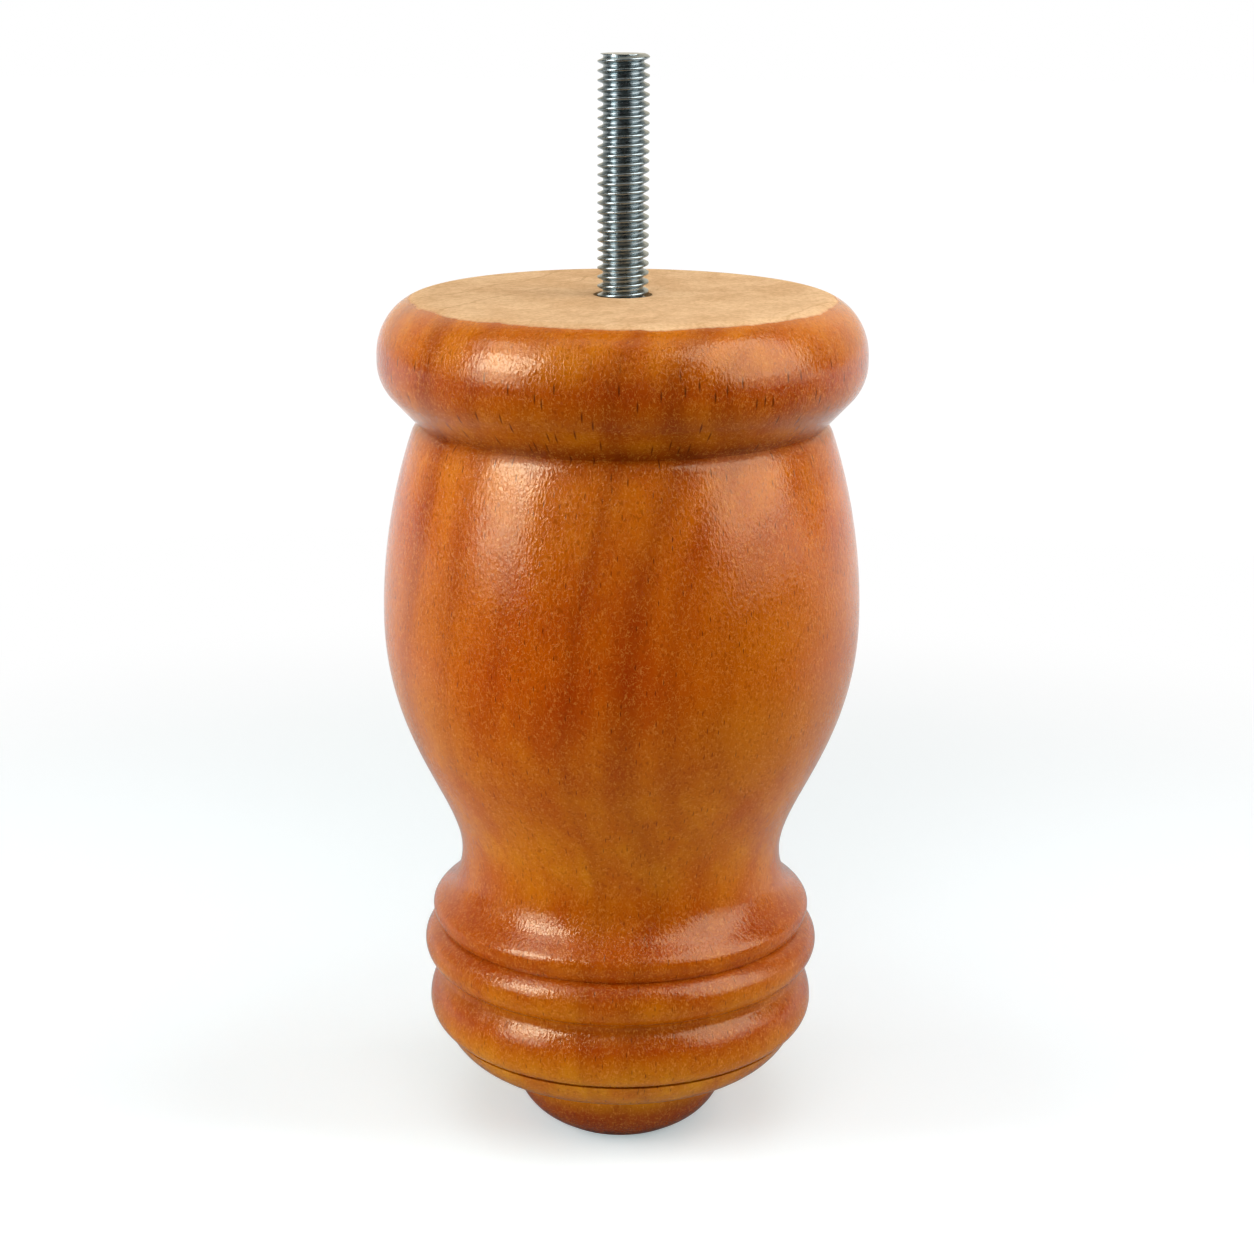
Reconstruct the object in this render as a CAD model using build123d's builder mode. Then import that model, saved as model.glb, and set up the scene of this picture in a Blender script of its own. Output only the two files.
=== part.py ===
from build123d import *
import os

# Turned furniture leg: one solid wooden turning that stands on its foot, with a steel hanger bolt driven
# into the middle of its top. The origin is the centre of the foot's flat, +Z runs up the turning's axis,
# and every size is in millimetres.

# Heights of the turned members, each measured from the member below it
foot_height = 9.4
band_lift = 1.9
band_height = 5.6
lower_bead_under_height = 4.3
lower_bead_over_height = 4.6
cove_height = 2.2
middle_bead_under_height = 3.5
middle_bead_over_height = 3.4
upper_bead_under_height = 2.6
flare_height = 9.5
vase_rise_height = 39.5
vase_shoulder_height = 29.1
quirk_height = 1.7
cap_soffit_height = 4.5
cap_under_height = 5.2
cap_side_height = 1.0
cap_round_height = 9.0

# Radii of the turned members
foot_flat_radius = 11.4
foot_top_radius = 17.7
band_edge_radius = 22.8
band_crease_radius = 29.0
lower_bead_foot_radius = 28.3
lower_bead_radius = 31.4
cove_radius = 30.0
middle_bead_radius = 32.1
groove_radius = 29.6
upper_bead_radius = 30.7
waist_radius = 25.9
vase_radius = 37.8
shoulder_radius = 33.0
quirk_radius = 31.8
cap_radius = 38.1
seat_radius = 30.3

# Curvature of the members: how far a side bows out, how long each end of a curve runs upright, and how far
# the round under the cap goes in
foot_bow = 1.6
band_bow = 0.9
cove_hollow = 0.5
flare_bead_pull = 2.6
flare_waist_pull = 7.3
vase_waist_pull = 9.8
vase_belly_pull = 20.5
shoulder_bow = 0.15
cap_under_inset = 2.06
foot_edge_round = 0.6

# Hanger bolt, 5/16 inch machine thread above the wood
bolt_thread_radius = 3.97
bolt_exposed_length = 36.3
bolt_end_chamfer = 0.4
bolt_shank_radius = 3.5
bolt_shank_length = 6.0
bolt_lag_radius = 3.3
bolt_lag_length = 30.0
bolt_tip_length = 6.0

# Hole mouth in the top of the wood, with room round the machine thread
mouth_clearance = 0.6
mouth_depth = 3.0

# Levels worked out from the heights
band_z = foot_height + band_lift
crease_z = band_z + band_height
lower_bead_z = crease_z + lower_bead_under_height
cove_z = lower_bead_z + lower_bead_over_height
cove_top_z = cove_z + cove_height
middle_bead_z = cove_top_z + middle_bead_under_height
groove_z = middle_bead_z + middle_bead_over_height
upper_bead_z = groove_z + upper_bead_under_height
waist_z = upper_bead_z + flare_height
vase_z = waist_z + vase_rise_height
shoulder_z = vase_z + vase_shoulder_height
quirk_z = shoulder_z + quirk_height
cap_soffit_z = quirk_z + cap_soffit_height
cap_side_z = cap_soffit_z + cap_under_height
cap_side_top_z = cap_side_z + cap_side_height
seat_z = cap_side_top_z + cap_round_height
mouth_floor_z = seat_z - mouth_depth
shank_bottom_z = mouth_floor_z - bolt_shank_length
lag_bottom_z = shank_bottom_z - bolt_lag_length
bolt_tip_z = lag_bottom_z - bolt_tip_length
bolt_top_z = seat_z + bolt_exposed_length

# Hanger bolt: machine thread outside, plain shank and wood thread driven into the leg
with BuildPart() as hanger_bolt:
    with BuildSketch(Plane.XZ):
        with BuildLine():
            Polyline(
                (0, bolt_tip_z),
                (bolt_lag_radius, lag_bottom_z),
                (bolt_lag_radius, shank_bottom_z),
                (bolt_shank_radius, shank_bottom_z),
                (bolt_shank_radius, mouth_floor_z),
                (bolt_thread_radius, mouth_floor_z),
                (bolt_thread_radius, bolt_top_z - bolt_end_chamfer),
                (bolt_thread_radius - bolt_end_chamfer, bolt_top_z),
                (0, bolt_top_z),
                close=True,
            )
        make_face()
    revolve(axis=Axis.Z)

# Turned leg: half outline from the foot's centre up to the seat's centre, spun about the axis
with BuildPart() as turned_leg:
    with BuildSketch(Plane.XZ):
        with BuildLine():
            Line((0, 0), (foot_flat_radius, 0))
            SagittaArc((foot_flat_radius, 0), (foot_top_radius, foot_height), -foot_bow)
            Line((foot_top_radius, foot_height), (band_edge_radius, band_z))
            SagittaArc((band_edge_radius, band_z), (band_crease_radius, crease_z), -band_bow)
            Line((band_crease_radius, crease_z), (lower_bead_foot_radius, crease_z))
            TangentArc((lower_bead_radius, lower_bead_z), (lower_bead_foot_radius, crease_z), tangent=(0, -1))
            TangentArc((lower_bead_radius, lower_bead_z), (cove_radius, cove_z), tangent=(0, 1))
            SagittaArc((cove_radius, cove_z), (cove_radius, cove_top_z), cove_hollow)
            TangentArc((middle_bead_radius, middle_bead_z), (cove_radius, cove_top_z), tangent=(0, -1))
            TangentArc((middle_bead_radius, middle_bead_z), (groove_radius, groove_z), tangent=(0, 1))
            TangentArc((upper_bead_radius, upper_bead_z), (groove_radius, groove_z), tangent=(0, -1))
            Bezier(
                (upper_bead_radius, upper_bead_z),
                (upper_bead_radius, upper_bead_z + flare_bead_pull),
                (waist_radius, waist_z - flare_waist_pull),
                (waist_radius, waist_z),
            )
            Bezier(
                (waist_radius, waist_z),
                (waist_radius, waist_z + vase_waist_pull),
                (vase_radius, vase_z - vase_belly_pull),
                (vase_radius, vase_z),
            )
            TangentArc((vase_radius, vase_z), (shoulder_radius, shoulder_z), tangent=(0, 1))
            SagittaArc((shoulder_radius, shoulder_z), (quirk_radius, quirk_z), -shoulder_bow)
            Line((quirk_radius, quirk_z), (cap_radius - cap_under_inset, cap_soffit_z))
            TangentArc((cap_radius, cap_side_z), (cap_radius - cap_under_inset, cap_soffit_z), tangent=(0, -1))
            Line((cap_radius, cap_side_z), (cap_radius, cap_side_top_z))
            EllipticalCenterArc(
                (seat_radius, cap_side_top_z),
                cap_radius - seat_radius,
                cap_round_height,
                start_angle=0,
                arc_size=90,
            )
            Polyline((seat_radius, seat_z), (0, seat_z), (0, 0))
        make_face()
    revolve(axis=Axis.Z)
    fillet(turned_leg.faces().sort_by(Axis.Z)[0].edges(), foot_edge_round)
    with Locations((0, 0, seat_z)):
        Hole(bolt_thread_radius + mouth_clearance, mouth_depth)
    add(hanger_bolt.part, mode=Mode.SUBTRACT)

turned_leg.part.label = "turned_leg"
hanger_bolt.part.label = "hanger_bolt"

os.makedirs("parts", exist_ok=True)
export_step(turned_leg.part, "parts/turned_leg.step")
export_step(hanger_bolt.part, "parts/hanger_bolt.step")
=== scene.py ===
import math

import bpy
from mathutils import Euler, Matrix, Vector


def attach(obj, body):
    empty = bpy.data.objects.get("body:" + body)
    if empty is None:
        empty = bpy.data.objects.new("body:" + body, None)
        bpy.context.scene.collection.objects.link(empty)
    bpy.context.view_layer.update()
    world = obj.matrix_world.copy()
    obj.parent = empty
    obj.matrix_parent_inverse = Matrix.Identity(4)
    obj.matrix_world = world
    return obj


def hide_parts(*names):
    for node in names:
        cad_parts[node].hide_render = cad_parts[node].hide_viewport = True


# A turned hardwood furniture leg with a zinc-plated hanger bolt in its top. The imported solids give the
# frame: metres, the foot's flat on the floor at the origin, and +Z up the turning's axis. The leg and its
# bolt come first, each with its finish, then the floor, the studio, the lamps and the camera.

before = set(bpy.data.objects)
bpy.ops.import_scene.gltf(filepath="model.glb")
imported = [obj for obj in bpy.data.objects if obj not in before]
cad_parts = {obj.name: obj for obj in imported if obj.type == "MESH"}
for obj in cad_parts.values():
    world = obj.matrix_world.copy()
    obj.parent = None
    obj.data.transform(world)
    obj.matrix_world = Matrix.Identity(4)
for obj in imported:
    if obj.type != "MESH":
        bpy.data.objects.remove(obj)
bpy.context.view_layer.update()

MM = 0.001


def linear(hex_colour):
    """An sRGB hex colour as the linear RGBA that the shaders take."""
    levels = [int(hex_colour[i:i + 2], 16) / 255 for i in (0, 2, 4)]
    return tuple(c / 12.92 if c <= 0.04045 else ((c + 0.055) / 1.055) ** 2.4 for c in levels) + (1.0,)


def add(tree, kind, inputs=(), **settings):
    """Adds one node and sets its properties. inputs holds values, nodes or sockets, either in the order of
    the node's own sockets or by name. A node given as an input stands for its first output in use."""
    node = tree.nodes.new(kind)
    for name, value in settings.items():
        setattr(node, name, value)
    in_use = [socket for socket in node.inputs if socket.enabled]
    for key, value in inputs.items() if isinstance(inputs, dict) else enumerate(inputs):
        socket = in_use[key] if isinstance(key, int) else next(s for s in in_use if s.name == key)
        if isinstance(value, bpy.types.Node):
            value = next(s for s in value.outputs if s.enabled)
        if isinstance(value, bpy.types.NodeSocket):
            tree.links.new(value, socket)
        else:
            socket.default_value = value
    return node


def new_material(name):
    """A new material and its node tree, still empty."""
    material = bpy.data.materials.new(name)
    material.use_nodes = True
    material.node_tree.nodes.clear()
    return material, material.node_tree


def new_geometry_tree(name, sizes):
    """An empty geometry tree with a named input for each size, and the sockets that those inputs give."""
    tree = bpy.data.node_groups.new(name, "GeometryNodeTree")
    tree.is_modifier = True
    tree.interface.new_socket("Geometry", in_out="INPUT", socket_type="NodeSocketGeometry")
    kinds = {int: "NodeSocketInt", float: "NodeSocketFloat", bpy.types.Material: "NodeSocketMaterial"}
    for label, value in sizes.items():
        tree.interface.new_socket(label, in_out="INPUT", socket_type=kinds[type(value)])
    tree.interface.new_socket("Geometry", in_out="OUTPUT", socket_type="NodeSocketGeometry")
    return tree, add(tree, "NodeGroupInput").outputs


def grid_place(tree, columns):
    """The row and the column of each point of a grid, counted from 0."""
    index = add(tree, "GeometryNodeInputIndex")
    middle = add(tree, "ShaderNodeMath", (index, 0.5), operation="ADD")
    rows_passed = add(tree, "ShaderNodeMath", (middle, columns), operation="DIVIDE")
    row = add(tree, "ShaderNodeMath", (rows_passed,), operation="FLOOR")
    row_start = add(tree, "ShaderNodeMath", (row, columns), operation="MULTIPLY")
    return row, add(tree, "ShaderNodeMath", (index, row_start), operation="SUBTRACT")


def close_tree(tree, size, grid, place):
    """Moves the grid's points to their places, welds its seams and poles, and sets its finish."""
    placed = add(tree, "GeometryNodeSetPosition", {"Geometry": grid.outputs["Mesh"], "Position": place})
    welded = add(tree, "GeometryNodeMergeByDistance", {"Geometry": placed, "Distance": size["Weld"]})
    smooth = add(tree, "GeometryNodeSetShadeSmooth", {"Geometry": welded})
    real = add(tree, "GeometryNodeRealizeInstances", {"Geometry": smooth})
    finished = add(tree, "GeometryNodeSetMaterial", {"Geometry": real, "Material": size["Finish"]})
    add(tree, "NodeGroupOutput", {"Geometry": finished})


def made_piece(name, start_mesh, tree, sizes):
    """Runs a geometry tree on a mesh and keeps the result as a plain mesh object at the origin."""
    source = bpy.data.objects.new(name + "_source", start_mesh)
    bpy.context.scene.collection.objects.link(source)
    modifier = source.modifiers.new("shape", "NODES")
    modifier.node_group = tree
    sockets = {s.name: s.identifier for s in tree.interface.items_tree if s.in_out == "INPUT"}
    for label, value in sizes.items():
        modifier[sockets[label]] = value
    graph = bpy.context.evaluated_depsgraph_get()
    mesh = bpy.data.meshes.new_from_object(source.evaluated_get(graph), depsgraph=graph)
    source.modifiers.remove(modifier)
    bpy.data.objects.remove(source)
    mesh.name = name
    mesh.materials.clear()
    mesh.materials.append(sizes["Finish"])
    piece = bpy.data.objects.new(name, mesh)
    bpy.context.scene.collection.objects.link(piece)
    return piece


# The corners and turning points of the leg and its bolt, in millimetres: radius, then height

foot_edge_low = (10.9, 0.0)
foot_edge_high = (11.5, 0.35)
foot_top = (17.7, 9.4)
band_edge = (22.8, 11.3)
band_crease = (29.0, 16.9)
lower_bead_foot = (28.3, 16.9)
lower_bead = (31.4, 21.2)
cove_low = (30.0, 25.8)
cove_high = (30.0, 28.0)
middle_bead = (32.1, 31.5)
groove = (29.6, 34.9)
upper_bead = (30.7, 37.5)
flare_low = (30.7, 40.1)
flare_high = (25.9, 39.7)
waist = (25.9, 47.0)
vase_low = (25.9, 56.8)
vase_high = (37.8, 66.0)
vase = (37.8, 86.5)
shoulder = (33.0, 115.6)
quirk = (31.8, 117.3)
cap_soffit = (36.04, 121.8)
cap_side_low = (38.1, 127.0)
cap_side_high = (38.1, 128.0)
seat_edge = (30.3, 137.0)
mouth_top = (4.57, 137.0)
mouth_floor = (4.57, 134.0)
shank_top = (3.5, 134.0)
shank_floor = (3.5, 128.0)
lag_top = (3.3, 128.0)
lag_floor = (3.3, 98.0)
bolt_tip = (0.0, 92.0)
bolt_end = (3.57, 173.3)

# How far each bowed side stands off its straight line, in millimetres: outwards, or inwards below zero

foot_edge_bow = 0.12
foot_bow = 1.55
band_bow = 0.9
cove_bow = -0.5
shoulder_bow = 0.15


def bowed(start, end, bow, steps):
    """Points of the arc from start to end whose middle stands off the straight line by bow, to its right."""
    run = Vector(end) - Vector(start)
    side = Vector((run.y, -run.x)).normalized() * math.copysign(1, bow)
    radius = (run.length ** 2 / 4 + bow ** 2) / (2 * abs(bow))
    turn = math.copysign(2 * math.asin(run.length / 2 / radius), bow)
    centre = (Vector(start) + Vector(end)) / 2 + side * (abs(bow) - radius)
    points = []
    for i in range(steps + 1):
        angle = turn * (i / steps - 0.5)
        across = side.x * math.cos(angle) - side.y * math.sin(angle)
        up = side.x * math.sin(angle) + side.y * math.cos(angle)
        points.append(centre + Vector((across, up)) * radius)
    return points


def upright_at(bulge, edge, steps):
    """Points of the arc that stands upright at bulge and runs to edge."""
    inward = bulge[0] - edge[0]
    rise = edge[1] - bulge[1]
    radius = (inward ** 2 + rise ** 2) / (2 * inward)
    turn = math.atan2(rise, radius - inward)
    centre = Vector((bulge[0] - radius, bulge[1]))
    angles = [turn * i / steps for i in range(steps + 1)]
    return [centre + Vector((math.cos(angle), math.sin(angle))) * radius for angle in angles]


def bezier(start, start_pull, end_pull, end, steps):
    """Points of the cubic curve from start to end. The two pulls shape it."""
    points = []
    for i in range(steps + 1):
        t = i / steps
        u = 1 - t
        near_start = Vector(start) * u ** 3 + Vector(start_pull) * 3 * u * u * t
        points.append(near_start + Vector(end_pull) * 3 * u * t * t + Vector(end) * t ** 3)
    return points


def straight(start, end, steps):
    """Points of the straight line from start to end."""
    return [Vector(start).lerp(Vector(end), i / steps) for i in range(steps + 1)]


def quarter_round(low, high, steps):
    """Points of a quarter ellipse that leaves low upright and comes to high level."""
    angles = [math.pi / 2 * i / steps for i in range(steps + 1)]
    width = low[0] - high[0]
    height = high[1] - low[1]
    return [
        Vector((high[0] + width * math.cos(angle), low[1] + height * math.sin(angle)))
        for angle in angles
    ]


def leg_outline():
    """The leg's half outline from the middle of its foot, up the outside, and down the hole in its top. The
    last number of each member is how many steps it is drawn in."""
    members = [
        straight((0, 0), foot_edge_low, 8),
        bowed(foot_edge_low, foot_edge_high, foot_edge_bow, 3),
        bowed(foot_edge_high, foot_top, foot_bow, 16),
        straight(foot_top, band_edge, 6),
        bowed(band_edge, band_crease, band_bow, 12),
        straight(band_crease, lower_bead_foot, 2),
        upright_at(lower_bead, lower_bead_foot, 14)[::-1],
        upright_at(lower_bead, cove_low, 14),
        bowed(cove_low, cove_high, cove_bow, 8),
        upright_at(middle_bead, cove_high, 12)[::-1],
        upright_at(middle_bead, groove, 12),
        upright_at(upper_bead, groove, 10)[::-1],
        bezier(upper_bead, flare_low, flare_high, waist, 24),
        bezier(waist, vase_low, vase_high, vase, 48),
        upright_at(vase, shoulder, 30),
        bowed(shoulder, quirk, shoulder_bow, 6),
        straight(quirk, cap_soffit, 6),
        upright_at(cap_side_low, cap_soffit, 12)[::-1],
        straight(cap_side_low, cap_side_high, 2),
        quarter_round(cap_side_high, seat_edge, 24),
        straight(seat_edge, mouth_top, 18),
        straight(mouth_top, mouth_floor, 4),
        straight(mouth_floor, shank_top, 1),
        straight(shank_top, shank_floor, 3),
        straight(shank_floor, lag_top, 1),
        straight(lag_top, lag_floor, 12),
        straight(lag_floor, bolt_tip, 4),
    ]
    outline = [members[0][0]]
    for member in members:
        outline += member[1:]
    return outline


def turning_tree(sizes):
    """Spins an outline about Z: one row of a grid for each outline point, one column for each step round."""
    tree, size = new_geometry_tree("turning", sizes)
    outline = size["Geometry"]
    steps = size["Steps round"]
    points = add(tree, "GeometryNodeAttributeDomainSize", {"Geometry": outline}, component="MESH")
    rows = points.outputs["Point Count"]
    columns = add(tree, "ShaderNodeMath", (steps, 1), operation="ADD")
    grid = add(tree, "GeometryNodeMeshGrid", {"Vertices X": rows, "Vertices Y": columns})
    row, column = grid_place(tree, columns)
    own_place = add(tree, "GeometryNodeInputPosition")
    point = add(
        tree, "GeometryNodeSampleIndex", {"Geometry": outline, "Value": own_place, "Index": row},
        data_type="FLOAT_VECTOR", domain="POINT",
    )
    step = add(tree, "ShaderNodeMath", (column, steps), operation="MODULO")
    share = add(tree, "ShaderNodeMath", (step, steps), operation="DIVIDE")
    angle = add(tree, "ShaderNodeMath", (share, 2 * math.pi), operation="MULTIPLY")
    turned = add(tree, "ShaderNodeVectorRotate", {"Vector": point, "Angle": angle}, rotation_type="Z_AXIS")
    close_tree(tree, size, grid, turned)
    return tree


# Dark streaks of the grain: where each one's plane cuts the ring axis in millimetres, half its width, and
# how dark it is. Above the leg's belly the planes lean as the two streaks on its front do, and below it they
# stand upright.

ring_lean = (1.0, -0.51, -0.165)
dark_streaks = (
    (-50.0, 3.0, 0.45), (-37.0, 3.6, 0.75), (-27.0, 2.4, 0.30), (-17.0, 2.4, 0.25), (-2.9, 2.8, 0.60),
    (5.6, 3.4, 0.75), (12.0, 2.8, 0.35), (19.0, 2.4, 0.25), (29.0, 3.0, 0.35),
)

# In millimetres: how far out the rings are drawn, the height from which their planes lean, how far slow waves
# bend them and how far fibres fray them. The two push every ring out by half their size, to ring_middle.

ring_reach = 60.0
ring_bend = 75.0
ring_wave = 5.0
ring_fray = 2.2
ring_middle = (ring_wave + ring_fray) / 2

# How much of the stain colour's red and green is kept at heights up the leg, in millimetres. Blue goes with
# green. This paints light and shade by height. Painted shade darkens the foot under the beads, the tops of
# the beads, the quirk under the cap and the cap's side. Painted light brightens the parts below the rounds,
# which face the floor, and the vase's shoulder and the top of the cap's round. In the quirk some of the
# darkening is also stain that gathered there.

stain_light_and_shade_by_height = (
    (1.0, 0.46, 0.34), (6.0, 0.55, 0.46), (9.0, 0.96, 1.54), (14.0, 1.02, 1.70), (19.0, 1.10, 1.74),
    (24.0, 0.76, 0.58), (27.0, 0.78, 0.84), (30.0, 1.02, 1.32), (34.0, 0.76, 0.60), (36.8, 0.88, 0.86),
    (40.0, 0.80, 0.62), (43.0, 0.88, 0.86), (47.0, 1.02, 1.20), (52.0, 1.08, 1.42), (66.0, 1.0, 1.14),
    (84.0, 0.96, 0.72), (104.0, 1.02, 0.92), (114.0, 1.20, 1.36), (116.4, 0.96, 0.96), (118.0, 0.46, 0.38),
    (120.5, 0.90, 1.12), (128.0, 0.84, 0.64), (131.5, 1.08, 1.20), (136.0, 1.24, 1.56),
)

# Heights in millimetres between which a part of the finish comes or goes: the streaks grow strong, the
# painted side light on the flanks comes and goes, the pores grow to the cap's size and fade over its round,
# and the stain ends at the brow of the seat

streak_heights = (60.0, 100.0)
flank_start_heights = (62.0, 78.0)
flank_end_heights = (90.0, 106.0)
pore_growth_heights = (112.0, 119.0)
pore_fade_heights = (129.0, 133.0)
brow_heights = (136.75, 137.0)

# In millimetres: how far out on the ring axis the painted side light on the flanks starts and is full, how
# wavy the brow and the end grain are, and the bare wood round the bolt, within this reach of the axis and
# above this height

flank_offsets = (12.0, 28.0)
brow_wave = 0.8
end_grain_wave = 14.0
bare_core_reach = 8.0
bare_core_foot = 60.0

# The pores are laid out in cells this many millimetres wide, some of them empty. Heights are squeezed
# there, so that each pore comes out six times as long as it is wide.

pore_cell_width = 1.3889
empty_cell_share = 0.4
pore_squeeze = 0.17


def growth_rings(tree, place, x, y, z):
    """Where each point of the wood lies on the ring axis: leaning planes, bent by slow waves about 30 mm long
    and frayed by fibres about 2.4 mm wide and 24 mm long. Also gives the slow waves."""
    wave = add(
        tree, "ShaderNodeTexNoise",
        {"Vector": place, "Scale": 1 / (30.3 * MM), "Detail": 1.0, "Roughness": 0.5},
    )
    fibre_place = add(
        tree, "ShaderNodeMapping", {"Vector": place, "Scale": (1.0, 1.0, 0.10)}, vector_type="POINT",
    )
    fibre = add(
        tree, "ShaderNodeTexNoise",
        {"Vector": fibre_place, "Scale": 1 / (2.381 * MM), "Detail": 2.0, "Roughness": 0.6},
    )
    bent_z = add(tree, "ShaderNodeMath", (z, ring_bend * MM), operation="MAXIMUM")
    bent_place = add(tree, "ShaderNodeCombineXYZ", (x, y, bent_z))
    plane = add(tree, "ShaderNodeVectorMath", (bent_place, ring_lean), operation="DOT_PRODUCT")
    waved = add(
        tree, "ShaderNodeMath", (wave, ring_wave * MM, plane.outputs["Value"]), operation="MULTIPLY_ADD",
    )
    ring = add(tree, "ShaderNodeMath", (fibre, ring_fray * MM, waved), operation="MULTIPLY_ADD")
    return ring, wave


def streak_strength(tree, z, ring, wave):
    """How dark the streaks are. The slow waves break them, and they are faint near the foot of the vase and
    strong at its shoulder."""
    ring_share = add(
        tree, "ShaderNodeMapRange",
        {"Value": ring, "From Min": (ring_middle - ring_reach) * MM,
         "From Max": (ring_middle + ring_reach) * MM},
    )
    streaks = add(tree, "ShaderNodeValToRGB", (ring_share,))
    streaks.color_ramp.interpolation = "EASE"
    stops = streaks.color_ramp.elements
    stops[0].color = (0, 0, 0, 1)
    stops[1].color = (0, 0, 0, 1)
    for middle, half_width, depth in dark_streaks:
        for offset, level in ((-half_width, 0.0), (0.0, depth), (half_width, 0.0)):
            stop = stops.new((middle + offset + ring_reach) / (2 * ring_reach))
            stop.color = (level, level, level, 1)
    streak_fade = add(
        tree, "ShaderNodeMapRange",
        {"Value": wave, "From Min": 0.35, "From Max": 0.65, "To Min": 1.0, "To Max": 0.55},
    )
    streak_rise = add(
        tree, "ShaderNodeMapRange",
        {"Value": z, "From Min": streak_heights[0] * MM, "From Max": streak_heights[1] * MM,
         "To Min": 0.42, "To Max": 1.0},
    )
    broken = add(tree, "ShaderNodeMath", (streaks, streak_fade), operation="MULTIPLY")
    streak = add(tree, "ShaderNodeMath", (broken, streak_rise), operation="MULTIPLY")
    return streak


def stained_wood(tree, z, ring, streak, mottle):
    """The colour of the stained wood: cloudy, with faint rings and dark streaks, with painted side light that
    makes the vase's flanks paler and yellower, and with painted light and shade by height."""
    cloud_share = add(tree, "ShaderNodeMapRange", {"Value": mottle, "From Min": 0.34, "From Max": 0.66})
    clouded = add(
        tree, "ShaderNodeMix", (cloud_share, linear("B54E00"), linear("C96700")), data_type="RGBA",
    )
    faint_rings = add(
        tree, "ShaderNodeTexNoise",
        {"W": ring, "Scale": 1 / (2.381 * MM), "Detail": 2.0, "Roughness": 0.6},
        noise_dimensions="1D",
    )
    faint_share = add(
        tree, "ShaderNodeMapRange",
        {"Value": faint_rings, "From Min": 0.3, "From Max": 0.7, "To Min": 0.0, "To Max": 0.22},
    )
    ringed = add(tree, "ShaderNodeMix", (faint_share, clouded, linear("A63E00")), data_type="RGBA")

    # Painted side light: the vase's flanks, off the ring axis to either side, are painted paler and yellower
    # than the streaked middle between them
    off_middle = add(tree, "ShaderNodeMath", (ring,), operation="ABSOLUTE")
    flank = add(
        tree, "ShaderNodeMapRange",
        {"Value": off_middle, "From Min": flank_offsets[0] * MM, "From Max": flank_offsets[1] * MM,
         "To Min": 0.0, "To Max": 0.7},
        interpolation_type="SMOOTHSTEP",
    )
    flank_top = add(
        tree, "ShaderNodeMapRange",
        {"Value": z, "From Min": flank_end_heights[0] * MM, "From Max": flank_end_heights[1] * MM,
         "To Min": 1.0, "To Max": 0.0},
    )
    flank_foot = add(
        tree, "ShaderNodeMapRange",
        {"Value": z, "From Min": flank_start_heights[0] * MM, "From Max": flank_start_heights[1] * MM},
    )
    flank_height = add(tree, "ShaderNodeMath", (flank_top, flank_foot), operation="MULTIPLY")
    side_light_share = add(tree, "ShaderNodeMath", (flank, flank_height), operation="MULTIPLY")
    side_lit = add(tree, "ShaderNodeMix", (side_light_share, ringed, linear("C47400")), data_type="RGBA")
    streaked = add(tree, "ShaderNodeMix", (streak, side_lit, linear("8E3100")), data_type="RGBA")

    # Painted light and shade at each height, with some stain gathered in the quirk
    height_share = add(
        tree, "ShaderNodeMapRange", {"Value": z, "From Min": 0.0, "From Max": seat_edge[1] * MM},
    )
    depth = add(tree, "ShaderNodeValToRGB", (height_share,))
    height_tone_stops = depth.color_ramp.elements
    for stop, (_, red, green) in zip(height_tone_stops, (stain_light_and_shade_by_height[0], stain_light_and_shade_by_height[-1])):
        stop.color = (red, green, green, 1)
    for height, red, green in stain_light_and_shade_by_height:
        stop = height_tone_stops.new(height / seat_edge[1])
        stop.color = (red, green, green, 1)
    height_toned = add(tree, "ShaderNodeMix", (1.0, streaked, depth), data_type="RGBA", blend_type="MULTIPLY")
    return height_toned


def fine_strokes(tree, place, tall, colour):
    """Fine broken strokes in random directions, about 0.1 mm wide: the level lines of a noise about half a
    millimetre across. Pale hairs painted along them stand in for glints of light caught on their grooves, and
    painted shade darkens the spots between them. Gives the strokes, and the colour with them."""
    hair_noise = add(
        tree, "ShaderNodeTexNoise",
        {"Vector": tall, "Scale": 1 / (0.4545 * MM), "Detail": 1.5, "Roughness": 0.6, "Distortion": 0.6},
    )
    off_level = add(tree, "ShaderNodeMath", (hair_noise, 0.5), operation="SUBTRACT")
    from_level = add(tree, "ShaderNodeMath", (off_level,), operation="ABSOLUTE")
    hair = add(
        tree, "ShaderNodeMapRange",
        {"Value": from_level, "From Min": 0.0, "From Max": 0.055, "To Min": 1.0, "To Max": 0.0},
        interpolation_type="SMOOTHSTEP",
    )
    gap_noise = add(
        tree, "ShaderNodeTexNoise", {"Vector": place, "Scale": 1 / (0.6667 * MM), "Detail": 1.0},
    )
    hair_gaps = add(
        tree, "ShaderNodeMapRange",
        {"Value": gap_noise, "From Min": 0.40, "From Max": 0.60, "To Min": 0.05, "To Max": 0.42},
    )
    painted_glint_share = add(tree, "ShaderNodeMath", (hair, hair_gaps), operation="MULTIPLY")
    # Painted glints: pale hairs along the strokes stand in for light caught on their grooves
    glinted = add(tree, "ShaderNodeMix", (painted_glint_share, colour, linear("E89A44")), data_type="RGBA")
    # Painted shade darkens the spots between the strokes
    painted_shade_share = add(
        tree, "ShaderNodeMapRange",
        {"Value": hair_noise, "From Min": 0.58, "From Max": 0.70, "To Min": 0.0, "To Max": 0.45},
    )
    glinted_and_shaded = add(tree, "ShaderNodeMix", (painted_shade_share, glinted, linear("8A3C04")), data_type="RGBA")
    return hair, glinted_and_shaded


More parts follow.
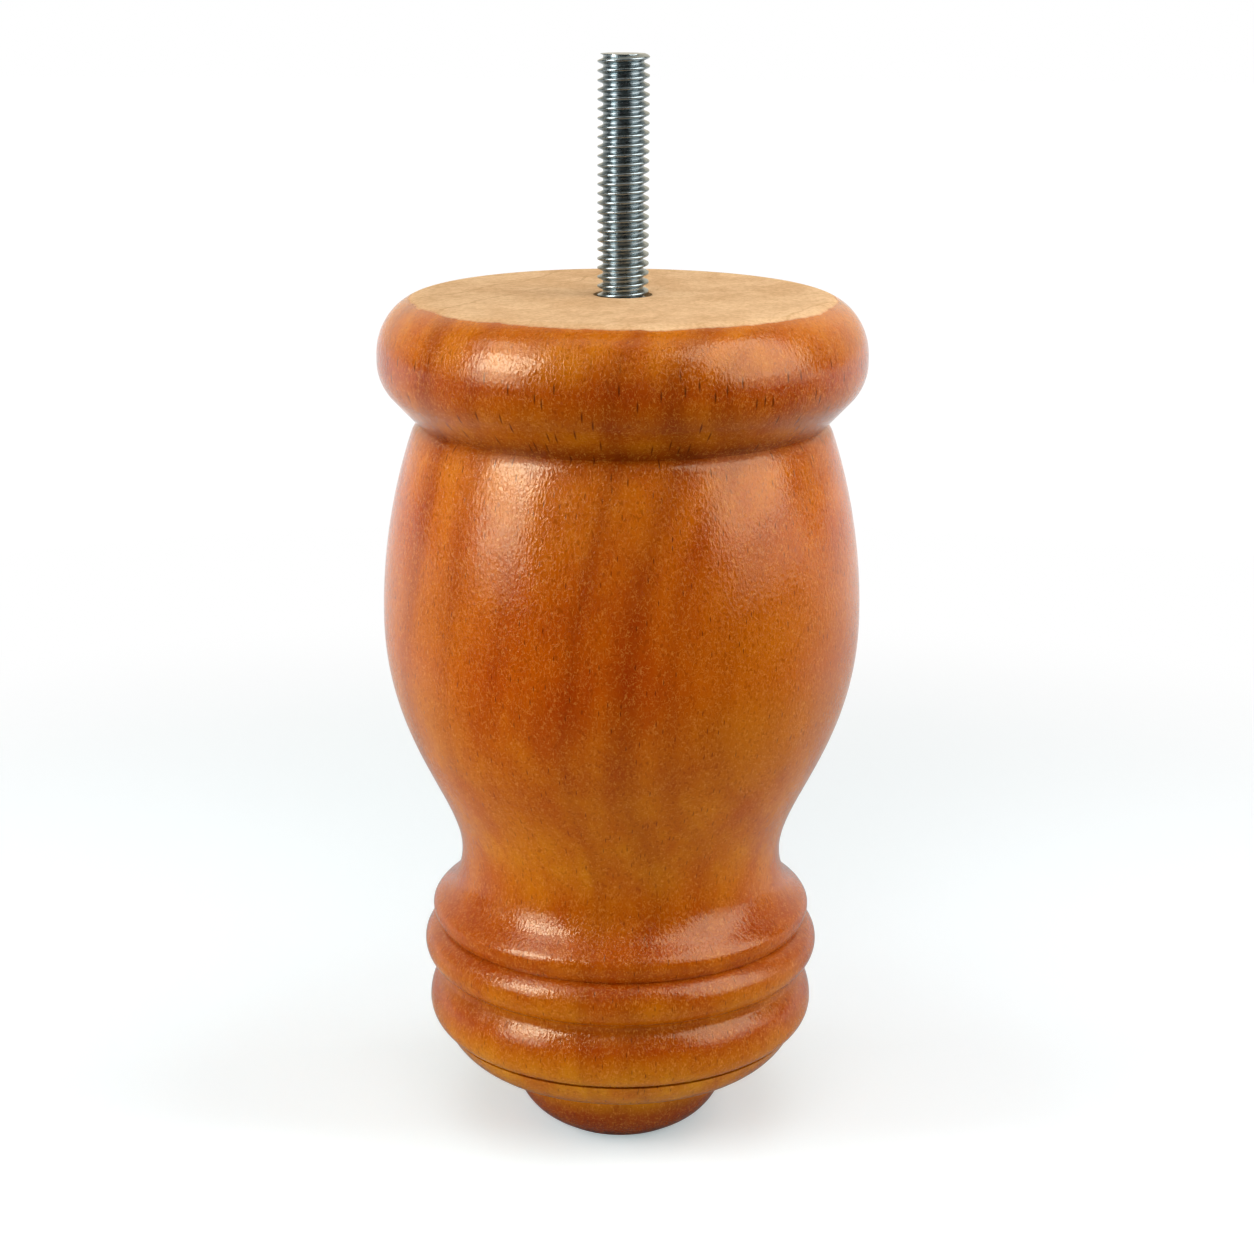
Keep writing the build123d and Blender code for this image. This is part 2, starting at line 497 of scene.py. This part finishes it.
def open_pores(tree, x, y, z, colour):
    """Open pores: dark dashes along the grain, laid out on the unrolled side of the cap, one in about 19
    square millimetres. On the cap they are up to 0.4 mm wide and 2.6 mm long, and below it less than half
    that. Gives the pores, and the colour with them."""
    turn = add(tree, "ShaderNodeMath", (y, x), operation="ARCTAN2")
    around = add(tree, "ShaderNodeMath", (turn, cap_side_low[0] * MM), operation="MULTIPLY")
    drawn_up = add(tree, "ShaderNodeMath", (z, pore_squeeze), operation="MULTIPLY")
    unrolled = add(tree, "ShaderNodeCombineXYZ", (around, drawn_up))
    cells = add(
        tree, "ShaderNodeTexVoronoi",
        {"Vector": unrolled, "Scale": 1 / (pore_cell_width * MM), "Randomness": 1.0},
        voronoi_dimensions="2D",
    )
    pore_reach = add(
        tree, "ShaderNodeMapRange",
        {"Value": z, "From Min": pore_growth_heights[0] * MM, "From Max": pore_growth_heights[1] * MM,
         "To Min": 0.07, "To Max": 0.16},
    )
    pore_core = add(
        tree, "ShaderNodeMapRange",
        {"Value": cells.outputs["Distance"], "From Min": 0.03, "From Max": pore_reach,
         "To Min": 1.0, "To Max": 0.0},
        interpolation_type="SMOOTHSTEP",
    )
    cell_pick = add(tree, "ShaderNodeSeparateXYZ", (cells.outputs["Color"],)).outputs["X"]
    picked = add(tree, "ShaderNodeMath", (cell_pick, empty_cell_share), operation="GREATER_THAN")
    pore = add(tree, "ShaderNodeMath", (pore_core, picked), operation="MULTIPLY")
    pore_fade = add(
        tree, "ShaderNodeMapRange",
        {"Value": z, "From Min": pore_fade_heights[0] * MM, "From Max": pore_fade_heights[1] * MM,
         "To Min": 0.8, "To Max": 0.15},
    )
    pore_share = add(tree, "ShaderNodeMath", (pore, pore_fade), operation="MULTIPLY")
    pored = add(tree, "ShaderNodeMix", (pore_share, colour, linear("4E2004")), data_type="RGBA")
    return pore, pored


def bare_end_grain(tree, place, ring, mottle):
    """The colour of the sawn top: pale, with faint arcs about 3 mm apart, soft patches and fine specks."""
    end_wave = add(
        tree, "ShaderNodeTexNoise",
        {"Vector": place, "Scale": 1 / (22.22 * MM), "Detail": 2.0, "Roughness": 0.5},
    )
    end_ring = add(tree, "ShaderNodeMath", (end_wave, end_grain_wave * MM, ring), operation="MULTIPLY_ADD")
    arcs = add(
        tree, "ShaderNodeTexNoise",
        {"W": end_ring, "Scale": 1 / (3.03 * MM), "Detail": 2.0, "Roughness": 0.6},
        noise_dimensions="1D",
    )
    arc_line = add(
        tree, "ShaderNodeMapRange",
        {"Value": arcs, "From Min": 0.60, "From Max": 0.72, "To Min": 0.0, "To Max": 0.4},
    )
    patch = add(tree, "ShaderNodeMapRange", {"Value": mottle, "From Min": 0.40, "From Max": 0.60})
    bare_patch = add(tree, "ShaderNodeMix", (patch, linear("ECBE8C"), linear("FAD0A0")), data_type="RGBA")
    bare = add(tree, "ShaderNodeMix", (arc_line, bare_patch, linear("CC945C")), data_type="RGBA")
    speck = add(
        tree, "ShaderNodeTexNoise",
        {"Vector": place, "Scale": 1 / (0.6667 * MM), "Detail": 2.0, "Roughness": 0.6},
    )
    speck_share = add(tree, "ShaderNodeMapRange", {"Value": speck, "From Min": 0.36, "From Max": 0.6})
    speck_tone = add(
        tree, "ShaderNodeMix", (speck_share, linear("EEE6DC"), linear("FFFFFF")), data_type="RGBA",
    )
    specked = add(tree, "ShaderNodeMix", (1.0, bare, speck_tone), data_type="RGBA", blend_type="MULTIPLY")
    return specked


def bare_places(tree, place, z, mottle):
    """1 where the wood is bare. The stain ends just over the brow of the cap, along a slightly uneven line,
    and never reached the hole."""
    brow = add(tree, "ShaderNodeMath", (mottle, brow_wave * MM, z), operation="MULTIPLY_ADD")
    sawn = add(
        tree, "ShaderNodeMapRange",
        {"Value": brow, "From Min": brow_heights[0] * MM, "From Max": brow_heights[1] * MM},
        interpolation_type="SMOOTHSTEP",
    )
    flat_place = add(tree, "ShaderNodeVectorMath", (place, (1.0, 1.0, 0.0)), operation="MULTIPLY")
    reach = add(tree, "ShaderNodeVectorMath", (flat_place,), operation="LENGTH").outputs["Value"]
    near_axis = add(tree, "ShaderNodeMath", (reach, bare_core_reach * MM), operation="LESS_THAN")
    above_foot = add(tree, "ShaderNodeMath", (z, bare_core_foot * MM), operation="GREATER_THAN")
    in_hole = add(tree, "ShaderNodeMath", (near_axis, above_foot), operation="MULTIPLY")
    raw = add(tree, "ShaderNodeMath", (sawn, in_hole), operation="MAXIMUM")
    return raw


def lacquer_relief(tree, place, tall, hair, pore):
    """Relief: slow waves from sanding, about 6 mm across, the lacquer's ripple, about 0.4 mm across, and the
    strokes and pores, which the lacquer only half fills."""
    slow = add(
        tree, "ShaderNodeTexNoise",
        {"Vector": place, "Scale": 1 / (5.882 * MM), "Detail": 1.0, "Roughness": 0.5},
    )
    sanding = add(tree, "ShaderNodeBump", {"Strength": 0.5, "Distance": 0.16 * MM, "Height": slow})
    ripple = add(
        tree, "ShaderNodeTexNoise",
        {"Vector": tall, "Scale": 1 / (0.4348 * MM), "Detail": 1.0, "Roughness": 0.5},
    )
    rippled = add(
        tree, "ShaderNodeBump",
        {"Strength": 1.0, "Distance": 0.056 * MM, "Height": ripple, "Normal": sanding},
    )
    pitting = add(tree, "ShaderNodeMath", (hair, pore), operation="MAXIMUM")
    relief = add(
        tree, "ShaderNodeBump",
        {"Strength": 1.0, "Distance": 0.011 * MM, "Height": pitting, "Normal": rippled},
        invert=True,
    )
    return relief


def lacquered_wood():
    """Light hardwood, sanded, stained orange-brown and sprayed with lacquer, its sawn top left bare. The
    stain gives cloudy mottling, soft dark streaks that lean across the front and short dark pores. Its colour
    also holds painted light: paler, yellower flanks for side light, light and shade by height, and pale hairs
    along fine strokes as painted glints, with painted shade between them. The lacquer is glossy, and its
    slight ripple breaks the highlights into squiggles. The bare top is pale and dull."""
    material, tree = new_material("stained_and_lacquered_hardwood")
    place = add(tree, "ShaderNodeTexCoord").outputs["Object"]
    x, y, z = add(tree, "ShaderNodeSeparateXYZ", (place,)).outputs

    # Mottling of the stain, about 7 mm across and 11 mm tall
    tall = add(tree, "ShaderNodeMapping", {"Vector": place, "Scale": (1.0, 1.0, 0.6)}, vector_type="POINT")
    mottle = add(
        tree, "ShaderNodeTexNoise",
        {"Vector": tall, "Scale": 1 / (6.667 * MM), "Detail": 4.0, "Roughness": 0.6},
    )

    ring, wave = growth_rings(tree, place, x, y, z)
    streak = streak_strength(tree, z, ring, wave)
    stained = stained_wood(tree, z, ring, streak, mottle)
    hair, glinted = fine_strokes(tree, place, tall, stained)
    pore, pored = open_pores(tree, x, y, z, glinted)
    end_grain = bare_end_grain(tree, place, ring, mottle)
    raw = bare_places(tree, place, z, mottle)
    colour = add(tree, "ShaderNodeMix", (raw, pored, end_grain), data_type="RGBA")
    relief = lacquer_relief(tree, place, tall, hair, pore)

    # Gloss lacquer over the stain and no lacquer on the bare wood. Its shine is tinted a little warm.
    gloss = add(tree, "ShaderNodeMapRange", {"Value": raw, "To Min": 0.10, "To Max": 0.75})
    surface = add(
        tree, "ShaderNodeBsdfPrincipled",
        {"Base Color": colour, "Roughness": gloss, "IOR": 1.48, "Specular Tint": linear("FFF3CE"),
         "Normal": relief},
    )
    add(tree, "ShaderNodeOutputMaterial", {"Surface": surface})
    return material


def zinc_plate():
    """Bright zinc on rolled steel: a grey metal with a faint cool cast, fairly sharp highlights on the
    thread's crests, and slightly uneven gloss from the plating bath, in clouds about 1 mm across."""
    material, tree = new_material("bright_zinc_plated_steel")
    place = add(tree, "ShaderNodeTexCoord").outputs["Object"]
    cloud = add(
        tree, "ShaderNodeTexNoise",
        {"Vector": place, "Scale": 1 / (1.1111 * MM), "Detail": 3.0, "Roughness": 0.6},
    )
    colour = add(tree, "ShaderNodeMix", (cloud, linear("7E8C8F"), linear("A4ACAE")), data_type="RGBA")
    gloss = add(tree, "ShaderNodeMapRange", {"Value": cloud, "To Min": 0.22, "To Max": 0.34})
    grit = add(tree, "ShaderNodeBump", {"Strength": 0.3, "Distance": 0.008 * MM, "Height": cloud})
    surface = add(
        tree, "ShaderNodeBsdfPrincipled",
        {"Base Color": colour, "Metallic": 1.0, "Roughness": gloss, "Normal": grit},
    )
    add(tree, "ShaderNodeOutputMaterial", {"Surface": surface})
    return material


# Points closer than this are welded, and a fold in a mesh sharper than its piece's angle in degrees shows
# as an edge

weld_reach = 0.0005 * MM
leg_crease_angle = 28
thread_crease_angle = 50

# The turned leg

wood = lacquered_wood()
outline = leg_outline()
outline_mesh = bpy.data.meshes.new("leg_outline")
outline_runs = [(i, i + 1) for i in range(len(outline) - 1)]
outline_mesh.from_pydata([(point.x * MM, 0.0, point.y * MM) for point in outline], outline_runs, [])
turning_sizes = {"Steps round": 192, "Weld": weld_reach, "Finish": wood}
leg = made_piece("turned_leg_surface", outline_mesh, turning_tree(turning_sizes), turning_sizes)
leg.data.set_sharp_from_angle(angle=math.radians(leg_crease_angle))
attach(leg, "root")
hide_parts("turned_leg")

# Shares of a pitch, counted from the middle of a thread's crest: half the crest of the machine thread and
# of the wood thread, where the flank reaches the root, and how far crest and root are eased into it. The
# strip starts turns_under_tip turns below the bolt's tip.

machine_crest = 0.09
lag_crest = 0.03
flank_root = 0.37
flank_ease = 0.03
turns_under_tip = 1.6


def thread_radius(tree, level, round_share, pitch, crest, root, half_crest):
    """The radius that a thread's profile gives each point. Its flanks are straight, and eased into the crest
    and the root."""
    pitches = add(tree, "ShaderNodeMath", (level, pitch), operation="DIVIDE")
    helix = add(tree, "ShaderNodeMath", (pitches, round_share), operation="SUBTRACT")
    phase = add(tree, "ShaderNodeMath", (helix,), operation="FRACT")
    past_crest = add(tree, "ShaderNodeMath", (phase, 0.5), operation="SUBTRACT")
    from_crest = add(tree, "ShaderNodeMath", (past_crest,), operation="ABSOLUTE")
    flank = add(
        tree, "ShaderNodeMapRange", {"Value": from_crest, "From Min": half_crest, "From Max": flank_root},
    )
    eased = add(
        tree, "ShaderNodeMapRange",
        {"Value": from_crest, "From Min": half_crest - flank_ease, "From Max": flank_root + flank_ease},
        interpolation_type="SMOOTHSTEP",
    )
    both = add(tree, "ShaderNodeMath", (flank, eased), operation="ADD")
    drop = add(tree, "ShaderNodeMath", (both, 0.5), operation="MULTIPLY")
    fall = add(tree, "ShaderNodeMath", (root, crest), operation="SUBTRACT")
    return add(tree, "ShaderNodeMath", (drop, fall, crest), operation="MULTIPLY_ADD")


def bolt_tree(sizes):
    """A strip one pitch wide wound up the bolt, each turn welded to the next. The height of each point gives
    its radius: machine thread, plain shank, wood thread and tip."""
    tree, size = new_geometry_tree("hanger_bolt", sizes)
    around = size["Steps round"]
    along = size["Steps along"]
    columns = add(tree, "ShaderNodeMath", (along, 1), operation="ADD")
    steps = add(tree, "ShaderNodeMath", (size["Turns"], around), operation="MULTIPLY")
    rows = add(tree, "ShaderNodeMath", (steps, 1), operation="ADD")
    grid = add(tree, "GeometryNodeMeshGrid", {"Vertices X": rows, "Vertices Y": columns})
    row, column = grid_place(tree, columns)
    turn = add(tree, "ShaderNodeMath", (row, around), operation="DIVIDE")
    round_share = add(tree, "ShaderNodeMath", (turn,), operation="FRACT")
    strip_share = add(tree, "ShaderNodeMath", (column, along), operation="DIVIDE")
    strips = add(tree, "ShaderNodeMath", (turn, strip_share), operation="ADD")
    # What winds below the tip closes its point
    low = add(
        tree, "ShaderNodeMath", (size["Pitch"], -turns_under_tip, size["Tip"]), operation="MULTIPLY_ADD",
    )
    height = add(tree, "ShaderNodeMath", (strips, size["Pitch"], low), operation="MULTIPLY_ADD")
    above_tip = add(tree, "ShaderNodeMath", (height, size["Tip"]), operation="MAXIMUM")
    level = add(tree, "ShaderNodeMath", (above_tip, size["Top"]), operation="MINIMUM")

    machine = (size["Pitch"], size["Crest radius"], size["Root radius"], machine_crest)
    machine_radius = thread_radius(tree, level, round_share, *machine)
    lag = (size["Lag pitch"], size["Lag crest radius"], size["Lag root radius"], lag_crest)
    lag_radius = thread_radius(tree, level, round_share, *lag)

    over_start = add(tree, "ShaderNodeMath", (level, size["Thread start"]), operation="SUBTRACT")
    machine_share = add(
        tree, "ShaderNodeMath", (over_start, size["Pitch"]), operation="DIVIDE", use_clamp=True,
    )
    under_end = add(tree, "ShaderNodeMath", (size["Lag end"], level), operation="SUBTRACT")
    lag_share = add(
        tree, "ShaderNodeMath", (under_end, size["Lag pitch"]), operation="DIVIDE", use_clamp=True,
    )
    machine_rise = add(tree, "ShaderNodeMath", (machine_radius, size["Shank radius"]), operation="SUBTRACT")
    lag_rise = add(tree, "ShaderNodeMath", (lag_radius, size["Shank radius"]), operation="SUBTRACT")
    upper = add(
        tree, "ShaderNodeMath", (machine_share, machine_rise, size["Shank radius"]), operation="MULTIPLY_ADD",
    )
    body = add(tree, "ShaderNodeMath", (lag_share, lag_rise, upper), operation="MULTIPLY_ADD")
    # The machine end is cut flat with a small chamfer, and the wood end tapers to its tip
    under_top = add(tree, "ShaderNodeMath", (size["Top"], level), operation="SUBTRACT")
    chamfer = add(tree, "ShaderNodeMath", (under_top, size["End radius"]), operation="ADD")
    chamfered = add(tree, "ShaderNodeMath", (body, chamfer), operation="MINIMUM")
    over_tip = add(tree, "ShaderNodeMath", (level, size["Tip"]), operation="SUBTRACT")
    taper = add(tree, "ShaderNodeMath", (over_tip, size["Tip length"]), operation="DIVIDE", use_clamp=True)
    tapered = add(tree, "ShaderNodeMath", (chamfered, taper), operation="MULTIPLY")
    # What winds on past the top closes the end face
    past_top = add(tree, "ShaderNodeMath", (height, size["Top"]), operation="SUBTRACT")
    closing = add(tree, "ShaderNodeMath", (past_top, size["Pitch"]), operation="DIVIDE")
    end_face = add(tree, "ShaderNodeMath", (1.0, closing), operation="SUBTRACT", use_clamp=True)
    radius = add(tree, "ShaderNodeMath", (tapered, end_face), operation="MULTIPLY")
    angle = add(tree, "ShaderNodeMath", (round_share, 2 * math.pi), operation="MULTIPLY")
    spoke = add(tree, "ShaderNodeCombineXYZ", {"X": radius, "Z": level})
    place = add(tree, "ShaderNodeVectorRotate", {"Vector": spoke, "Angle": angle}, rotation_type="Z_AXIS")
    close_tree(tree, size, grid, place)
    return tree


# The hanger bolt: 5/16 inch, 18 threads to the inch above the wood and 9 in it

INCH = 25.4 * MM
zinc = zinc_plate()
thread_sizes = {
    "Pitch": INCH / 18,
    "Crest radius": 3.97 * MM,
    "Root radius": 3.11 * MM,
    "Thread start": shank_top[1] * MM,
    "Top": bolt_end[1] * MM,
    "End radius": bolt_end[0] * MM,
    "Shank radius": shank_top[0] * MM,
    "Lag pitch": INCH / 9,
    "Lag crest radius": 3.85 * MM,
    "Lag root radius": 2.75 * MM,
    "Lag end": lag_top[1] * MM,
    "Tip": bolt_tip[1] * MM,
    "Tip length": (lag_floor[1] - bolt_tip[1]) * MM,
    "Steps round": 64,
    "Steps along": 14,
    "Turns": 61,
    "Weld": weld_reach,
    "Finish": zinc,
}
bolt_start = bpy.data.meshes.new("bolt_start")
bolt = made_piece("hanger_bolt_thread", bolt_start, bolt_tree(thread_sizes), thread_sizes)
bolt.data.set_sharp_from_angle(angle=math.radians(thread_crease_angle))
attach(bolt, "root")
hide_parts("hanger_bolt")

# The floor and the studio, in metres


def rays_that_see(tree):
    """1 for camera rays, then 1 for camera, mirrored and refracted rays alike."""
    path = add(tree, "ShaderNodeLightPath").outputs
    bent = add(tree, "ShaderNodeMath", (path["Is Glossy Ray"], path["Is Transmission Ray"]), operation="ADD")
    seeing = add(tree, "ShaderNodeMath", (path["Is Camera Ray"], bent), operation="ADD", use_clamp=True)
    return path["Is Camera Ray"], seeing


def mirrored_paper(tree, reach, y):
    """How bright the lacquer mirrors the paper: near black on the camera's side, grey under the foot and
    behind the leg, and white only far behind it."""
    front = add(
        tree, "ShaderNodeMapRange",
        {"Value": reach, "From Min": 0.04, "From Max": 0.20, "To Min": 0.19, "To Max": 0.04},
        interpolation_type="SMOOTHSTEP",
    )
    back = add(
        tree, "ShaderNodeMapRange",
        {"Value": y, "From Min": -0.05, "From Max": 0.06, "To Min": 0.0, "To Max": 0.42},
        interpolation_type="SMOOTHSTEP",
    )
    farther = add(
        tree, "ShaderNodeMapRange",
        {"Value": reach, "From Min": 0.10, "From Max": 0.22, "To Min": 1.0, "To Max": 1.8},
    )
    rear = add(
        tree, "ShaderNodeMapRange",
        {"Value": y, "From Min": 0.08, "From Max": 0.25, "To Min": 0.4, "To Max": 1.3},
    )
    end = add(
        tree, "ShaderNodeMapRange",
        {"Value": reach, "From Min": 0.30, "From Max": 0.45, "To Min": 1.0, "To Max": rear},
    )
    span = add(tree, "ShaderNodeMath", (farther, end), operation="MULTIPLY")
    white = add(tree, "ShaderNodeMath", (back, span), operation="MULTIPLY")
    return add(tree, "ShaderNodeMath", (front, white), operation="ADD")


def painted_shadow_lift(tree, reach, x, y, camera_ray):
    """Painted light: to the camera alone the paper glows a pale cyan, most of all near the foot and in front
    of it, so that the shadow stays thin there, and less on the right of the leg, where the shadow stays
    darker."""
    near = add(
        tree, "ShaderNodeMapRange",
        {"Value": reach, "From Min": 0.02, "From Max": 0.07, "To Min": 0.34, "To Max": 0.21},
    )
    in_front = add(
        tree, "ShaderNodeMapRange",
        {"Value": y, "From Min": -0.006, "From Max": -0.022, "To Min": 0.0, "To Max": 0.12},
    )
    both = add(tree, "ShaderNodeMath", (near, in_front), operation="ADD")
    right_side = add(
        tree, "ShaderNodeMapRange",
        {"Value": x, "From Min": 0.0, "From Max": 0.02, "To Min": 1.0, "To Max": 0.72},
    )
    level = add(tree, "ShaderNodeMath", (both, right_side), operation="MULTIPLY")
    lift = add(tree, "ShaderNodeMath", (level, camera_ray), operation="MULTIPLY")
    return add(tree, "ShaderNodeEmission", {"Color": linear("E2FAFD"), "Strength": lift})


def paper_floor():
    """Matt white paper. Near the leg it shows the leg's shadow, and farther off it fades into the
    backdrop."""
    material, tree = new_material("matt_white_paper_floor")
    camera_ray, seeing_ray = rays_that_see(tree)
    place = add(tree, "ShaderNodeTexCoord").outputs["Object"]
    reach = add(tree, "ShaderNodeVectorMath", (place,), operation="LENGTH").outputs["Value"]
    x, y, _ = add(tree, "ShaderNodeSeparateXYZ", (place,)).outputs
    # The room is dark on the camera's side, so the paper there throws little light back
    bounce_tone = add(
        tree, "ShaderNodeMapRange",
        {"Value": y, "From Min": -0.26, "From Max": -0.03, "To Min": 0.05, "To Max": 0.95},
        interpolation_type="SMOOTHSTEP",
    )
    mirror_tone = mirrored_paper(tree, reach, y)
    seen_tone = add(tree, "ShaderNodeMath", (mirror_tone, camera_ray), operation="MAXIMUM")
    tone = add(tree, "ShaderNodeMix", (seeing_ray, bounce_tone, seen_tone))
    # The wood throws orange light on the paper, which the paper's faint blue balances to grey
    colour = add(tree, "ShaderNodeMix", (tone, linear("000000"), linear("F4F9FF")), data_type="RGBA")
    matt = add(tree, "ShaderNodeBsdfDiffuse", {"Color": colour})
    # Painted light that thins the shadow near the foot, for the camera alone
    lift = painted_shadow_lift(tree, reach, x, y, camera_ray)
    near_leg = add(tree, "ShaderNodeAddShader", (matt, lift))
    backdrop = add(tree, "ShaderNodeEmission", {"Strength": tone})
    far_share = add(
        tree, "ShaderNodeMapRange", {"Value": reach, "From Min": 0.13, "From Max": 0.32},
        interpolation_type="SMOOTHSTEP",
    )
    seen_far = add(tree, "ShaderNodeMath", (far_share, seeing_ray), operation="MULTIPLY")
    paper = add(tree, "ShaderNodeMixShader", (seen_far, near_leg, backdrop))
    add(tree, "ShaderNodeOutputMaterial", {"Surface": paper})
    return material


def studio_walls():
    """The studio as the lacquer mirrors it: white behind the leg, dark beside it and on the camera's side.
    The camera sees plain white, and matt surfaces get an even, warm light from all round."""
    world = bpy.data.worlds.new("studio")
    world.use_nodes = True
    tree = world.node_tree
    tree.nodes.clear()
    camera_ray, seeing_ray = rays_that_see(tree)
    way = add(tree, "ShaderNodeTexCoord").outputs["Generated"]
    way_y = add(tree, "ShaderNodeSeparateXYZ", (way,)).outputs["Y"]
    wall_tone = add(
        tree, "ShaderNodeMapRange",
        {"Value": way_y, "From Min": 0.3, "From Max": 0.78, "To Min": 0.03, "To Max": 1.0},
        interpolation_type="SMOOTHSTEP",
    )
    wall_seen = add(tree, "ShaderNodeMath", (wall_tone, camera_ray), operation="MAXIMUM")
    strength = add(tree, "ShaderNodeMix", (seeing_ray, room_light, wall_seen))
    colour = add(tree, "ShaderNodeMix", (camera_ray, linear("FFF2DC"), linear("FFFFFF")), data_type="RGBA")
    walls = add(tree, "ShaderNodeBackground", {"Color": colour, "Strength": strength})
    add(tree, "ShaderNodeOutputWorld", {"Surface": walls})
    return world


floor_reach = 3.0
room_light = 0.26
floor_corners = [(-1, -1), (1, -1), (1, 1), (-1, 1)]
floor_points = [(x * floor_reach, y * floor_reach, 0) for x, y in floor_corners]
floor_mesh = bpy.data.meshes.new("studio_floor")
floor_mesh.from_pydata(floor_points, [], [(0, 1, 2, 3)])
floor_mesh.materials.append(paper_floor())
floor = bpy.data.objects.new("studio_floor", floor_mesh)
bpy.context.scene.collection.objects.link(floor)
bpy.context.scene.world = studio_walls()

leg_middle = Vector((0, 0, 0.08))


def softbox(name, azimuth, elevation, distance, width, height, radiance, matt=True, gloss=True):
    """A rectangular soft light that faces the middle of the leg. Azimuth 0 is the camera's side, and angles
    are in degrees. matt and gloss say whether it lights matt surfaces and shows in glossy ones."""
    light = bpy.data.lights.new(name, "AREA")
    light.shape = "RECTANGLE"
    light.size = width
    light.size_y = height
    light.energy = radiance * math.pi * width * height
    lamp = bpy.data.objects.new(name, light)
    bpy.context.scene.collection.objects.link(lamp)
    around = math.radians(azimuth)
    upward = math.radians(elevation)
    level = math.cos(upward)
    way = Vector((math.sin(around) * level, -math.cos(around) * level, math.sin(upward)))
    lamp.location = leg_middle + way * distance
    lamp.rotation_euler = way.to_track_quat("Z", "Y").to_euler()
    lamp.visible_diffuse = matt
    lamp.visible_glossy = gloss


# Each side has one lamp for the stain and others that only shine in the lacquer, so that each highlight has
# the place, the size and the strength it needs. The numbers are a lamp's azimuth and elevation, its
# distance, width and height in metres, and its radiance.

softbox("softbox_left", -80, 8, 0.36, 0.30, 0.30, 3.65, gloss=False)
softbox("softbox_left_shine_top", -70, 52, 0.61, 0.30, 0.16, 4.5, matt=False)
softbox("softbox_left_shine_high", -59, 31, 0.60, 0.27, 0.28, 15.0, matt=False)
softbox("softbox_left_shine_middle", -59, 11, 0.59, 0.27, 0.12, 7.0, matt=False)
softbox("softbox_left_shine_low", -59, 2, 0.59, 0.27, 0.07, 2.4, matt=False)
softbox("softbox_right", 84, 27, 0.36, 0.32, 0.30, 2.85, gloss=False)
softbox("softbox_right_shine", 69, 36, 0.58, 0.50, 0.62, 4.4, matt=False)
softbox("softbox_right_shine_low", 76, 3, 0.58, 0.50, 0.08, 2.0, matt=False)
softbox("softbox_over", 0, 88, 0.80, 0.80, 0.80, 0.80, gloss=False)
softbox("softbox_over_shine", 0, 84, 0.70, 1.20, 0.20, 1.2, matt=False)
softbox("front_top", 0, 50, 0.80, 0.60, 0.40, 1.65, gloss=False)
softbox("front_fill", 0, 8, 1.20, 0.90, 0.90, 0.95, gloss=False)

# The camera stands a little above the leg and looks down at it

camera_data = bpy.data.cameras.new("camera")
camera_data.sensor_width = 36.0
camera_data.lens = 72.4
camera_data.clip_start = 0.01
camera_data.clip_end = 20.0
camera = bpy.data.objects.new("camera", camera_data)
bpy.context.scene.collection.objects.link(camera)
camera_place = Vector((0.86, -389.0, 191.2)) * MM
camera_aim = Vector((0.86, 0.0, 83.7)) * MM
camera.location = camera_place
facing = (camera_aim - camera_place).to_track_quat("-Z", "Y")
camera_roll = Euler((0, 0, math.radians(0.25))).to_quaternion()
camera.rotation_euler = (facing @ camera_roll).to_euler()
bpy.context.scene.camera = camera
bpy.context.scene.view_settings.view_transform = "Standard"
